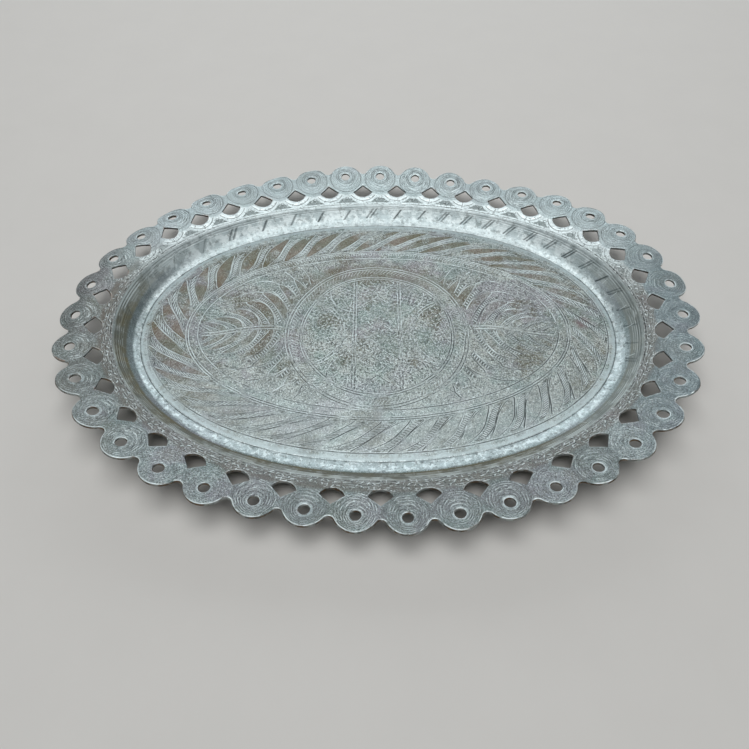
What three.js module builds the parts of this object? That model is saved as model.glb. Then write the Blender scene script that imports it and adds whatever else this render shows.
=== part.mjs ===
// An oval serving tray, raised from one sheet of tinned metal: a flat floor, a cove and a low wall, and a
// dished rim pierced with fan-shaped openings and filed into a border of round discs, each with a hole.
// Millimetres, +Z up. The origin is on the surface that the tray stands on, under the middle of the oval.
import * as THREE from 'three';
import { mergeVertices } from 'three/addons/utils/BufferGeometryUtils.js';

// Driving dimensions
const SHEET = 1.5; // thickness of the metal
const HALF_LENGTH = 180; // half axes of the oval line that the disc holes are punched on
const HALF_WIDTH = 131.2;
const SHOULDER_SWELL = 0.013; // how much fuller than an ellipse the oval is between its axes
const INSET_SKEW = 0.00125; // per mm of inset: inner ovals grow slightly longer and narrower

const DISCS = 39;
const FIRST_DISC = 0.7; // in disc spacings, counterclockwise from the +X end
const DISC_RADIUS = 11.8;
const DISC_BEHIND_HOLE = 2.1; // from a punched hole inwards to the middle of its disc
const HOLE_RADIUS = 2.9;
const NOTCH_RADIUS = 3; // the rounded bottom of the notch between two discs

const FAN_TIP = 6.7; // insets of a fan opening's point, corners and curved inner edge
const FAN_CORNER = 12.3;
const FAN_BACK = 16.5;
const FAN_HALF_WIDTH = 6.5;

const SHOULDER = 22; // inset where the rim turns down into the wall
const FLOOR_EDGE = 36; // inset where the cove has run out into the flat floor
const SHOULDER_RISE = 7.4; // shoulder above the floor, half way along the long sides
const RIM_SLOPE = 0.26; // rise of the rim per mm outwards
const END_LIFT = 8.5; // how much higher the rim stands at the two ends of the oval
const DROOP = 0.42; // slope by which the discs towards the two ends are bent down
const LEFT_DROOP = 0.28; // and how much more at the left end
const DROOP_START = 9; // inset where that bend starts
const WALL_FOOT = 0.62; // share of the wall's width at which its slope would meet the floor

const SEAM = 0.05; // clearance between two zones of the sheet

// How finely the curves are cut
const STEPS_PER_DISC = 3; // along the shoulder and the floor's edge
const DISC_STEPS = 8;
const HOLE_STEPS = 8;
const NOTCH_STEPS = 2;
const FAN_EDGE_STEPS = 2;
const FAN_BACK_STEPS = 4;
const WALL_STEPS = 4;
const LENGTH_STEPS = 1440; // for measuring along the oval

// ---------------------------------------------------------------------------------------------------
// The oval and its insets

// The point at angle t on the oval that lies `inset` inside the line of holes.
function ovalPoint(t, inset) {
  const skew = INSET_SKEW * inset * Math.abs(inset);
  const swell = 1 + SHOULDER_SWELL * Math.sin(2 * t) ** 2;
  return new THREE.Vector2(
    (HALF_LENGTH - inset + skew) * swell * Math.cos(t),
    (HALF_WIDTH - inset - skew) * swell * Math.sin(t),
  );
}

// The inset of the oval that passes through a point, by halving the range that holds it.
function insetOf(point) {
  let [outer, inner] = [-20, 60];
  for (let i = 0; i < 24; i++) {
    const middle = (outer + inner) / 2;
    const skew = INSET_SKEW * middle * Math.abs(middle);
    const t = Math.atan2(point.y / (HALF_WIDTH - middle - skew), point.x / (HALF_LENGTH - middle + skew));
    if (ovalPoint(t, middle).length() > point.length()) outer = middle;
    else inner = middle;
  }
  return (outer + inner) / 2;
}

// Angles that cut the line of holes into equal lengths, for finding places by distance along it.
const lengthAt = [0];
for (let i = 1; i <= LENGTH_STEPS; i++) {
  const from = ovalPoint(((i - 1) / LENGTH_STEPS) * 2 * Math.PI, 0);
  const to = ovalPoint((i / LENGTH_STEPS) * 2 * Math.PI, 0);
  lengthAt.push(lengthAt[i - 1] + from.distanceTo(to));
}

// The oval's angle at a place counted in disc spacings. The spacing was set out by eye, and drifts.
function angleAt(place) {
  const around = (2 * Math.PI * place) / DISCS;
  const drifted = place - 0.065 * Math.sin(around) - 0.034 * Math.cos(2 * around);
  const wanted = THREE.MathUtils.euclideanModulo(drifted / DISCS, 1) * lengthAt[LENGTH_STEPS];
  let i = 1;
  while (lengthAt[i] < wanted) i++;
  const part = (wanted - lengthAt[i - 1]) / (lengthAt[i] - lengthAt[i - 1]);
  return ((i - 1 + part) / LENGTH_STEPS) * 2 * Math.PI;
}

// A point measured from the line of holes: along it, counterclockwise, and inwards from it.
function rimPoint(place, along, inwards) {
  const t = angleAt(place);
  const ahead = ovalPoint(t + 0.001, 0).sub(ovalPoint(t - 0.001, 0)).normalize();
  const outward = new THREE.Vector2(ahead.y, -ahead.x);
  return ovalPoint(t, 0).addScaledVector(ahead, along).addScaledVector(outward, -inwards);
}

// ---------------------------------------------------------------------------------------------------
// The sheet's height and slope

const lift = (x) => END_LIFT * (x / HALF_LENGTH) ** 2;

// Height above the floor as a share of the shoulder's: 1 on the shoulder, 0 on the floor, curved between.
function wallShare(inset) {
  const across = THREE.MathUtils.clamp((inset - SHOULDER) / (FLOOR_EDGE - SHOULDER), 0, 1);
  const bend = 1 - 2 * WALL_FOOT;
  const along = (-WALL_FOOT + Math.sqrt(WALL_FOOT ** 2 + bend * across)) / bend;
  return (1 - along) ** 2;
}

// How far down the border of discs is bent at a point: most at the left end, not at all along the near side.
function droop(point, inset) {
  const ends = DROOP * THREE.MathUtils.smoothstep(Math.abs(point.x), 20, 110);
  const left = LEFT_DROOP * THREE.MathUtils.smoothstep(-point.x, 100, 170);
  const past = Math.max(DROOP_START - inset, 0);
  return ((ends + left) * THREE.MathUtils.smoothstep(point.y, -75, 0) * past ** 2) / (past + DROOP_START);
}

function topHeight(point, inset) {
  const shoulder = SHOULDER_RISE + lift(point.x);
  if (inset <= SHOULDER) return SHEET + shoulder + RIM_SLOPE * (SHOULDER - inset) - droop(point, inset);
  return SHEET + shoulder * wallShare(inset);
}

// The top and underside points of the sheet at a plan point, one sheet thickness apart.
function throughSheet(point, inset = insetOf(point)) {
  const top = new THREE.Vector3(point.x, point.y, topHeight(point, inset));
  const step = 0.01;
  const side = inset <= SHOULDER ? -step : step; // measured on the point's own side of the shoulder
  const nearer = inset >= FLOOR_EDGE - step ? 0 : (topHeight(point, inset + side) - top.z) / side;
  const inward = point.clone().divide(new THREE.Vector2(HALF_LENGTH ** 2, HALF_WIDTH ** 2)).normalize().negate();
  const normal = new THREE.Vector3(-nearer * inward.x, -nearer * inward.y, 1).normalize();
  return { top, under: top.clone().addScaledVector(normal, -SHEET) };
}

// ---------------------------------------------------------------------------------------------------
// Outlines in plan

const placeOfDisc = (i) => i + FIRST_DISC;
const placeOfFan = (i) => i + FIRST_DISC + 0.5; // the opening between disc i and disc i + 1

// A fixed scatter from -1 to 1, for work placed by eye.
const byEye = (i, rate, start) => Math.sin(rate * (i + 1) + start);

// The hole of disc i. The row wanders to and fro as well as in and out, and each hole is a little off its place.
function holeCentre(i) {
  const around = (2 * Math.PI * placeOfDisc(i)) / DISCS;
  const swing = (waves, ofCos, ofSin) => ofCos * Math.cos(waves * around) + ofSin * Math.sin(waves * around);
  const along = 0.4 + swing(2, 0.95, 0) + swing(3, 0, 0.5) + swing(4, 0.65, 0);
  const inwards = -0.5 + swing(1, -0.6, -0.9) + swing(3, -0.5, 0) + swing(4, 0.5, -1.2);
  return rimPoint(placeOfDisc(i), along + 0.6 * byEye(i, 5.48, 3), inwards + 0.8 * byEye(i, 45.21, 5));
}

function discCentre(i) {
  const hole = holeCentre(i);
  return hole.clone().addScaledVector(hole.clone().normalize(), -DISC_BEHIND_HOLE);
}

// Points on an arc round a centre, from one angle to another.
function arc(centre, radius, from, to, steps) {
  return Array.from({ length: steps + 1 }, (_, k) => {
    const a = from + ((to - from) * k) / steps;
    return new THREE.Vector2(centre.x + radius * Math.cos(a), centre.y + radius * Math.sin(a));
  });
}

const wrap = (i) => THREE.MathUtils.euclideanModulo(i, DISCS);
const angleFrom = (a, b) => Math.atan2(b.y - a.y, b.x - a.x);

// The circle that rounds the notch outside discs i and i + 1: it touches both of them.
function notchCentre(i) {
  const [a, b] = [discCentre(wrap(i)), discCentre(wrap(i + 1))];
  const half = a.distanceTo(b) / 2;
  const out = new THREE.Vector2(b.y - a.y, a.x - b.x).normalize();
  return a.add(b).divideScalar(2).addScaledVector(out, Math.sqrt((DISC_RADIUS + NOTCH_RADIUS) ** 2 - half ** 2));
}

// The outer edge of disc i, counterclockwise, from the bottom of one notch to the bottom of the next.
function discEdge(i) {
  const centre = discCentre(i);
  const [before, after] = [notchCentre(i - 1), notchCentre(i)];
  const start = angleFrom(centre, before);
  let end = angleFrom(centre, after);
  if (end < start) end += 2 * Math.PI;
  const bottomAngle = (i, notch) => angleFrom(notch, discCentre(wrap(i)).add(discCentre(wrap(i + 1))).divideScalar(2));
  const rounding = (notch, from, to) => {
    const turn = THREE.MathUtils.euclideanModulo(to - from + Math.PI, 2 * Math.PI) - Math.PI;
    return arc(notch, NOTCH_RADIUS, from, from + turn, NOTCH_STEPS);
  };
  return [
    ...rounding(before, bottomAngle(i - 1, before), start + Math.PI).slice(0, -1),
    ...arc(centre, DISC_RADIUS, start, end, DISC_STEPS),
    ...rounding(after, end + Math.PI, bottomAngle(i, after)).slice(1),
  ];
}

// Half of the fan opening after disc i, from its tip to the middle of its back. side is -1 or 1.
function halfFan(i, side) {
  const place = placeOfFan(wrap(i));
  const tip = new THREE.Vector2(0, FAN_TIP);
  const corner = new THREE.Vector2(side * FAN_HALF_WIDTH, FAN_CORNER);
  const edge = Array.from({ length: FAN_EDGE_STEPS }, (_, k) => tip.clone().lerp(corner, k / FAN_EDGE_STEPS));
  const depth = FAN_BACK - FAN_CORNER;
  const backRadius = (FAN_HALF_WIDTH ** 2 + depth ** 2) / (2 * depth);
  const backCentre = new THREE.Vector2(0, FAN_BACK - backRadius);
  const back = arc(backCentre, backRadius, angleFrom(backCentre, corner), Math.PI / 2, FAN_BACK_STEPS);
  const around = (2 * Math.PI * place) / DISCS;
  const along = 1.7 * Math.cos(around) + 0.3 * Math.sin(around) + 0.4 * Math.cos(3 * around);
  const outwards = 0.35 * (1 + Math.sin(around)); // the openings, too, aren't quite where the discs would put them
  return [...edge, ...back].map((p) => rimPoint(place, p.x + along, p.y - outwards));
}

// Points along the shoulder or the floor's edge, from before disc i to after it.
function besideDisc(i, inset) {
  return Array.from({ length: STEPS_PER_DISC + 1 }, (_, k) =>
    ovalPoint(angleAt(placeOfDisc(i) - 0.5 + k / STEPS_PER_DISC), inset),
  );
}

function wholeOval(inset) {
  return Array.from({ length: DISCS }, (_, i) => besideDisc(i, inset).slice(0, -1)).flat();
}

// ---------------------------------------------------------------------------------------------------
// Solids

function solid(corners) {
  const geometry = new THREE.BufferGeometry().setFromPoints(corners);
  const merged = mergeVertices(geometry, 1e-3);
  merged.computeVertexNormals();
  return merged;
}

// Two triangles between an edge of the upper skin and the same edge of the lower one.
const edgeFaces = (a, b) => [a.under, b.under, b.top, a.under, b.top, a.top];

// The part of the rim that carries disc i. It meets its neighbours along four seams, which stay open.
function rimSector(i) {
  const runs = [
    discEdge(i),
    halfFan(i, -1),
    besideDisc(i, SHOULDER).reverse(),
    halfFan(i - 1, 1).reverse(),
  ];
  const hole = arc(holeCentre(i), HOLE_RADIUS, 2 * Math.PI, 0, HOLE_STEPS);
  const outline = runs.flat();
  const skins = [...outline, ...hole.slice(1)].map((p) => throughSheet(p));
  const faces = THREE.ShapeUtils.triangulateShape(outline, [hole.slice(1)]).map((face) => {
    const [a, b, c] = face.map((k) => skins[k]);
    const turn = (b.top.x - a.top.x) * (c.top.y - a.top.y) - (b.top.y - a.top.y) * (c.top.x - a.top.x);
    return turn > 0 ? [a, b, c] : [a, c, b];
  });
  const upper = faces.flatMap(([a, b, c]) => [a.top, b.top, c.top]);
  const lower = faces.flatMap(([a, b, c]) => [a.under, c.under, b.under]);
  const edges = [...runs, hole].flatMap((run) => {
    const cut = run.map((p) => throughSheet(p));
    return cut.slice(1).flatMap((next, k) => edgeFaces(cut[k], next));
  });
  return [...upper, ...lower, ...edges];
}

function piercedRim() {
  return solid(Array.from({ length: DISCS }, (_, i) => rimSector(i)).flat());
}

// A band of the sheet between two insets: its two skins, and the cut faces of its outer and inner edge.
function wellWall() {
  const insets = Array.from({ length: WALL_STEPS + 1 }, (_, k) =>
    THREE.MathUtils.lerp(SHOULDER + SEAM, FLOOR_EDGE - SEAM, k / WALL_STEPS),
  );
  const rings = insets.map((inset) => wholeOval(inset).map((p) => throughSheet(p, inset)));
  const corners = [];
  const count = rings[0].length;
  for (let k = 0; k < count; k++) {
    const next = (k + 1) % count;
    for (let r = 0; r < WALL_STEPS; r++) {
      const [a, b, c, d] = [rings[r][k], rings[r][next], rings[r + 1][next], rings[r + 1][k]];
      corners.push(a.top, b.top, c.top, a.top, c.top, d.top);
      corners.push(a.under, c.under, b.under, a.under, d.under, c.under);
    }
    corners.push(...edgeFaces(rings[0][k], rings[0][next]));
    corners.push(...edgeFaces(rings[WALL_STEPS][next], rings[WALL_STEPS][k]));
  }
  return solid(corners);
}

function wellFloor() {
  const outline = new THREE.Shape(wholeOval(FLOOR_EDGE + SEAM));
  return new THREE.ExtrudeGeometry(outline, { depth: SHEET, bevelEnabled: false, steps: 1 });
}

// ---------------------------------------------------------------------------------------------------
// The tray

function zone(name, geometry, color, roughness) {
  const material = new THREE.MeshStandardMaterial({ color, roughness, metalness: 0.9 });
  const mesh = new THREE.Mesh(geometry, material);
  mesh.name = name;
  return mesh;
}

const tray = new THREE.Group();
tray.add(zone('well_floor', wellFloor(), 0x8b8f8a, 0.55));
tray.add(zone('well_wall', wellWall(), 0xa9b6b8, 0.42));
tray.add(zone('pierced_rim', piercedRim(), 0x979fa0, 0.5));

export default tray;
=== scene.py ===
"""The looks of the oval serving tray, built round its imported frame.

One engraved sheet of tinned metal in three zones: the floor, the wall round it and the pierced rim.
Lengths are in millimetres in the frame's own axes, and are handed to Blender in metres.
"""

import math

import bpy
import numpy as np
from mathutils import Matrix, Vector, geometry


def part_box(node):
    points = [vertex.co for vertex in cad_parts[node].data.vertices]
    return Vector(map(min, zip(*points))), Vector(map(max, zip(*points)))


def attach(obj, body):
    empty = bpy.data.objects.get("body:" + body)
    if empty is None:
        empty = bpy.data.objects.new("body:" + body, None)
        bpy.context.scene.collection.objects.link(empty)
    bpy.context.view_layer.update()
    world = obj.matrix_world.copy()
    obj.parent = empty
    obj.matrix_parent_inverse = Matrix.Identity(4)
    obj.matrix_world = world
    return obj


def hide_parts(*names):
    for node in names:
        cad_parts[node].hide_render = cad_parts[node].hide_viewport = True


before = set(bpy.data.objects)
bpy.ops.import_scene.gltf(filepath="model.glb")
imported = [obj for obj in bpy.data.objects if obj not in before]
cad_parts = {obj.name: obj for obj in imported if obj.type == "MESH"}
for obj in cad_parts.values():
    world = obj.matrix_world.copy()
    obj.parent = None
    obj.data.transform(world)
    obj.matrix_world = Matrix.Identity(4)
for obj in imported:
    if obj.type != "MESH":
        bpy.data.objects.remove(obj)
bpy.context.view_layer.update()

MM = 0.001
TURN = 2 * math.pi
joined = np.concatenate

# The sheet and its oval, as in the CAD
SHEET = 1.5
HALF_LENGTH = 180
HALF_WIDTH = 131.2
SHOULDER_SWELL = 0.013
INSET_SKEW = 0.00125
DISCS = 39
FIRST_DISC = 0.7
DISC_RADIUS = 11.55
DISC_BEHIND_HOLE = 2.1
HOLE_RADIUS = 2.9
NOTCH_RADIUS = 3
FAN_TIP = 6.7
FAN_CORNER = 12.3
FAN_BACK = 16.5
FAN_HALF_WIDTH = 6.5
SHOULDER = 22
FLOOR_EDGE = 36
SHOULDER_RISE = 7.4
RIM_SLOPE = 0.26
END_LIFT = 8.5
WALL_FOOT = 0.62
DROOP = 0.42  # slope that the border of discs bends down to at both ends
LEFT_DROOP = 0.28  # and as much more at the left
DROOP_START = 9

# Hand finish
SHOULDER_ROUNDING = 0.9
EDGE_ROUNDING = 0.45  # radius of the filed upper edge
CUT_DEPTH = 0.13  # of the engraved lines
MESH_LINE = 0.9  # their width in the mesh
DENT_DEPTH = 0.09  # of the hammer's dents
TILT_OUT, TILT_SIDE = 0.05, 0.045  # slopes by which the discs stand uneven
TILT_START = 15
PICK_START = 312.932
TOP_ROOM = 0.02  # kept clear under the top of the CAD's box
WILD = 12.9898  # a rate that makes a sine jump about from one whole number to the next

# How finely the surfaces are cut
EDGE_STEP = 0.72
FACE_STEP = 0.7
BACK_STEP = 2.6
ROWS_BESIDE_CUT = (0.14, 0.46)  # distances of the rows of points beside a cut edge
SEAM_BOW = 0.03
FLOOR_COLUMNS, FLOOR_ROWS = 376, 244
WALL_COLUMNS, WALL_ROWS = 1440, 30
WALL_BACK_ROWS = 8

# The engraved floor
BORDER_INSET = 40  # the line round the leaf band
STEM = (119, 68)  # half axes of the vine's outer line
STEM_WIDTH = 7
BAND_WIDTH = 22.3  # from the vine to the border line
BAND_GROWTH = (1.04, 0.957)  # growth of the half axes per mm outwards
LEAVES = 38
MEDALLION = (-0.5, -4)
MEDALLION_RADIUS = 56.5
STROKES = 43  # on the wall
RIM_LINE = 21.2  # inset of the line round the rim


# --------------------
# Fields: numbers that vary over a surface, as numpy arrays for the shape or as shader nodes for the looks


def feed(tree, slot, value):
    """Link a node's input to a field or a socket, or set it to a plain value."""
    value = value.socket if isinstance(value, Field) else value
    if isinstance(value, bpy.types.NodeSocket):
        tree.links.new(value, slot)
    else:
        slot.default_value = value


def acting(operation):
    return lambda field, other: field.math(operation, other)


class Field:
    """A number over a surface, worked out by shader nodes."""

    def __init__(self, tree, socket):
        self.tree, self.socket = tree, socket

    def math(self, operation, *others):
        node = self.tree.nodes.new("ShaderNodeMath")
        node.operation = operation
        for slot, value in zip(node.inputs, (self, *others)):
            feed(self.tree, slot, value)
        return Field(self.tree, node.outputs[0])

    __add__ = __radd__ = acting("ADD")
    __sub__ = acting("SUBTRACT")
    __mul__ = __rmul__ = acting("MULTIPLY")
    __truediv__ = acting("DIVIDE")

    def __neg__(self):
        return self * -1

    def __rsub__(self, other):
        return -self + other


def either(name, array_way):
    return lambda a, *others: a.math(name, *others) if isinstance(a, Field) else array_way(a, *others)


sine = either("SINE", np.sin)
root = either("SQRT", np.sqrt)
whole = either("FLOOR", np.floor)
size_of = either("ABSOLUTE", np.abs)
lower = either("MINIMUM", np.minimum)
higher = either("MAXIMUM", np.maximum)
bearing = either("ARCTAN2", np.arctan2)
raised = either("POWER", np.power)


def ramp(low, high, value):
    """0 below low and 1 above high, smooth between."""
    share = lower(higher((value - low) * (1 / (high - low)), 0), 1)
    return share * share * (3 - 2 * share)


def between(low, high, value, soft=0.25):
    return ramp(low - soft, low + soft, value) * (1 - ramp(high - soft, high + soft, value))


def nearest(value):
    """How far a value is from the nearest whole number, with its sign."""
    return value - whole(value + 0.5)


def scatter(number, kind):
    """A fixed scatter from 0 to 1 for whole numbers."""
    wild = sine(number * WILD + kind) * 437.58
    return wild - whole(wild)


def reach_of(across, up):
    return root(across * across + up * up)


# A line is drawn from the distance to it, in mm


def strokes(value, pitch):
    """The distance to the nearest of lines that lie one pitch apart."""
    return size_of(nearest(value * (1 / pitch))) * pitch


def only(distance, mask):
    """The distance where mask is 1, and far from any line where it is 0."""
    return distance + (1 - mask) * 9


def closest(first, *others):
    for other in others:
        first = lower(first, other)
    return first


def groove(distance, width):
    return 1 - ramp(0.22 * width, 0.72 * width, distance)


# --------------------
# The oval and the sheet's surface


def oval(t, inset):
    skew = INSET_SKEW * inset * np.abs(inset)
    swell = 1 + SHOULDER_SWELL * np.sin(2 * t) ** 2
    return (HALF_LENGTH - inset + skew) * swell * np.cos(t), (HALF_WIDTH - inset - skew) * swell * np.sin(t)


def oval_angle(x, y, inset):
    skew = INSET_SKEW * inset * np.abs(inset)
    return np.arctan2(y / (HALF_WIDTH - inset - skew), x / (HALF_LENGTH - inset + skew))


def halved(shape, low, high, steps, is_low):
    """The values that is_low holds up to, found by halving a range."""
    low, high = np.full(shape, low), np.full(shape, high)
    for _ in range(steps):
        middle = (low + high) / 2
        more = is_low(middle)
        low, high = np.where(more, middle, low), np.where(more, high, middle)
    return (low + high) / 2


def inset_of(x, y):
    """How far inside the outer oval a point lies."""
    reach = np.hypot(x, y)

    def is_low(inset):
        return np.hypot(*oval(oval_angle(x, y, inset), inset)) > reach

    return halved(x.shape, -20.0, 60.0, 26, is_low)


def run_lengths(x, y):
    """Lengths from the first of a run of points to each."""
    return joined([[0], np.cumsum(np.hypot(np.diff(x), np.diff(y)))])


ANGLES = np.linspace(0, TURN, 1441)
LENGTHS = run_lengths(*oval(ANGLES, 0))
SPACING = LENGTHS[-1] / DISCS


def drift(place):
    around = TURN * place / DISCS
    return 0.065 * np.sin(around) + 0.034 * np.cos(2 * around)


def angle_at(place):
    place = np.asarray(place, float)
    return np.interp(np.mod((place - drift(place)) / DISCS, 1) * LENGTHS[-1], LENGTHS, ANGLES)


def place_at(angle):
    even = np.interp(np.mod(angle, TURN), ANGLES, LENGTHS) / SPACING
    place = even
    for _ in range(5):
        place = even + drift(place)
    return place


def rim_ways(place):
    """Unit vectors along the oval and away from it."""
    t = angle_at(place)
    ahead = np.array(oval(t + 0.001, 0)) - np.array(oval(t - 0.001, 0))
    ahead = ahead / np.hypot(*ahead)
    return ahead, np.array([ahead[1], -ahead[0]])


def rim_point(place, along, inwards):
    ahead, outwards = rim_ways(place)
    x, y = oval(angle_at(place), 0)
    return x + ahead[0] * along - outwards[0] * inwards, y + ahead[1] * along - outwards[1] * inwards


def by_eye(i, rate, start):
    """A hand's unevenness from -1 to 1, another one for each disc i."""
    return np.sin(rate * (i + 1) + start)


def dents(x, y):
    """Low, seeded waves, such as a hammer and years of use leave."""
    dice = np.random.default_rng(7)
    total = np.zeros(x.shape)
    for size in (9, 11, 13, 16, 21, 28, 40, 60, 90):
        for _ in range(3):
            way, start = dice.uniform(0, TURN, 2)
            wave = np.sin(TURN * (x * np.cos(way) + y * np.sin(way)) / size + start)
            total += wave * (size / 30) ** 0.6
    return total * DENT_DEPTH / 4


def tilt(x, y, inset):
    """Each disc of the rim stands at a slightly different slope."""
    place = place_at(oval_angle(x, y, inset)) - FIRST_DISC
    near = np.round(place)
    hold = np.cos(math.pi * (place - near)) ** 2 * np.clip((TILT_START - inset) / 9, 0, 1) ** 2
    out, side = by_eye(near, WILD, 5.1), by_eye(near, WILD, 2.3)
    slope = TILT_OUT * out * (TILT_START - inset) + TILT_SIDE * side * (place - near) * SPACING
    return hold * (slope - 0.35 * np.abs(out))


def droop(x, y, inset):
    """How far the border of discs is bent down, at the two ends and most of all at the left."""
    bend = DROOP * ramp(20, 110, np.abs(x)) + LEFT_DROOP * ramp(100, 170, -x)
    past = np.maximum(DROOP_START - inset, 0)
    return bend * ramp(-75, 0, y) * past**2 / (past + DROOP_START)


def height(x, y):
    """Height of the sheet's smooth upper face."""
    inset = inset_of(x, y)
    shoulder = SHOULDER_RISE + END_LIFT * (x / HALF_LENGTH) ** 2
    rim = shoulder + RIM_SLOPE * (SHOULDER - np.minimum(inset, SHOULDER + 8)) - droop(x, y, inset)
    across = np.clip((inset - SHOULDER) / (FLOOR_EDGE - SHOULDER), 0, 1)
    bend = 1 - 2 * WALL_FOOT
    along = (-WALL_FOOT + np.sqrt(WALL_FOOT**2 + bend * across)) / bend
    steep = (SHOULDER - np.minimum(inset, SHOULDER)) / (WALL_FOOT * (FLOOR_EDGE - SHOULDER))
    wall = shoulder * ((1 - along) ** 2 + steep)
    rounding = SHOULDER_ROUNDING * np.clip(1.5 - np.abs(inset - SHOULDER) / 5, 0, 1)
    ridge = (rim + wall - np.sqrt((rim - wall) ** 2 + rounding**2)) / 2
    return SHEET + ridge + tilt(x, y, inset)


def under_face(x, y):
    """Points one thickness behind the smooth upper face."""
    step = 0.05
    z = height(x, y)
    slope_x = (height(x + step, y) - height(x - step, y)) / (2 * step)
    slope_y = (height(x, y + step) - height(x, y - step)) / (2 * step)
    long = np.sqrt(slope_x**2 + slope_y**2 + 1)
    return np.stack([x + slope_x * SHEET / long, y + slope_y * SHEET / long, z - SHEET / long], 1)


# --------------------
# What is engraved, from plan positions in mm


def disc_work(along, out, pick):
    """Rings and rows of ticks round a disc's hole. out is measured away from the tray."""
    middle = out + ramp(3, 11, reach_of(along, out)) * DISC_BEHIND_HOLE
    wobble = sine(along * 0.8 + pick * 40) * 0.12 + sine(out * 1.1 + pick * 23) * 0.1
    ring = reach_of(along, middle) + wobble
    pitch = 1.42 + (pick - 0.5) * 0.16
    turns = (ring - 3.7) / pitch
    rings = only(size_of(nearest(turns)) * pitch, between(3.3, 11.2, ring))
    first_row = between(1.12, 1.9, turns, 0.06) * ramp(0.25, 0.6, pick)
    second_row = between(3.1, 3.9, turns, 0.06) * ramp(0.55, 0.75, pick)
    return rings, only(strokes(bearing(along, out) * ring, 1.5), first_row + second_row)


def disc_share(along, out):
    """1 on a disc and 0 off it."""
    return 1 - ramp(13.2, 14.2, reach_of(along, out + DISC_BEHIND_HOLE))


def petal_work(along, out, fan, inset):
    """The petals round the backs of the fan openings, and the ringlets and triangles between them."""
    petal = only(size_of(fan - 3.1), ramp(9, 11.5, inset) * (1 - ramp(20.4, 20.9, inset)))
    triangle = ramp(4.9, 5.3, fan) * between(16.4, 19.8, inset, 0.3)
    ringlet = size_of(reach_of(along, out + 18.6) - 0.95)
    rib = only(size_of(size_of(along) - SPACING / 2), between(16.6, 20.2, inset))
    return closest(petal, rib), triangle, ringlet


def leaf_row(cell, out, length, width):
    """Lance-shaped leaves in a row, each with a comb of strokes. out runs from 0 at their stem to 1."""
    part = cell - whole(cell)
    taper = raised(higher(out * (1 - out) * 4, 0.001), 0.55)
    body = (size_of(part - 0.64) - taper * 0.325) * width
    strip = between(0.03, 0.23, part, 0.012) * between(0.06, 0.94, out, 0.04)
    comb = only(strokes(out * length + part * 5.5, 1.9), strip)
    back = only(size_of(part - 0.29) * width, between(0.05, 0.95, out, 0.03))
    inside = 1 - ramp(-0.5, 0.2, body)
    return closest(size_of(body), back), comb, inside, strip


def band_work(place, out):
    """The border of leaves round the floor, swept clockwise."""
    slant = out * 1.9 + sine(out * TURN) * 0.07
    edge = between(0.02, 0.985, out, 0.02)
    bend = sine(whole(place + slant) * 7.7) * 0.05
    spread = 35.0 - 12.0 * ramp(-0.3, 0.3, sine(place * (TURN / LEAVES)))
    outline, comb, inside, strip = leaf_row(place + slant + bend, out, spread, 14.0)
    return only(outline, edge), only(comb, edge), inside * edge, strip * edge


def spray_work(x, y, stem):
    """A palmette of leaves at either end of the medallion. stem is the distance outside the vine."""
    side = size_of(x + 0.5)
    rise = size_of(y + 3 + sine(side * 0.07) * 3)
    from_medallion = reach_of(x - MEDALLION[0], y - MEDALLION[1]) - MEDALLION_RADIUS
    room = ramp(2.2, 3.2, from_medallion) * (1 - ramp(-STEM_WIDTH - 2.6, -STEM_WIDTH - 1.6, stem))
    out = rise / (46 - ramp(40, 110, side) * 34)
    outline, comb, inside, strip = leaf_row(side / 9.8 - raised(out, 1.4) * 1.9, lower(out, 1), 36.0, 9.8)
    clear = room * ramp(1.4, 2.2, rise) * ramp(28, 40, side)
    outline = closest(only(outline, clear), only(size_of(rise - 1.1), room))
    return outline, only(comb, clear), inside * clear, strip * clear


def chasing(across, up, kind, lean):
    """Short strokes, each turned its own way, as a chaser fills a ground. They lie in rows that lean."""
    wide, high = 3.0, 2.7
    column = (across * math.cos(lean) + up * math.sin(lean)) * (1 / wide) + kind * 0.37
    row = (up * math.cos(lean) - across * math.sin(lean)) * (1 / high) + kind * 0.71
    number = whole(column) * 7 + whole(row) * 31
    turn = scatter(number, kind) * math.pi
    right = (column - whole(column) - 0.5) * wide + (scatter(number, kind + 2.0) - 0.5) * 0.9
    rise = (row - whole(row) - 0.5) * high + (scatter(number, kind + 5.0) - 0.5) * 0.8
    way, side = sine(turn + math.pi / 2), sine(turn)
    drawn = 1 - ramp(0.9, 1.2, size_of(right * way + rise * side))
    return only(size_of(right * side - rise * way), drawn * ramp(0.12, 0.16, scatter(number, kind + 7.0)))


def medallion_work(x, y):
    """A ringed roundel: distances to its outlines and to its border's hatching, and its middle."""
    across, up = x - MEDALLION[0], y - MEDALLION[1]
    reach = reach_of(across, up)
    angle = bearing(up, across)
    wave = sine(angle * 5 + 1) * 0.35
    radii = (MEDALLION_RADIUS, MEDALLION_RADIUS - 1.9, 47.6, 46.0)
    rings = closest(*(size_of(reach - radius + wave) for radius in radii))
    rope = only(strokes(angle * 51 + reach * 0.8, 2.2), between(50.6, 54.2, reach))
    inside = 1 - ramp(44.8, 45.4, reach)
    side = size_of(across)
    bars = closest(size_of(side - 13.2), size_of(side - 15.0))
    bows = closest(size_of(reach_of(side - 47, up) - 25), size_of(reach_of(side - 47, up) - 27))
    corner_bows = only(size_of(reach_of(side - 14, size_of(up) - 33) - 16), ramp(15, 15.6, side))
    lozenges = only(size_of(size_of(nearest(up / 21) * 21) + side * 0.8 - 9), 1 - ramp(12, 12.6, side))
    drawn = closest(rings, only(closest(bars, bows, corner_bows, lozenges), inside))
    return drawn, rope, inside


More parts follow.
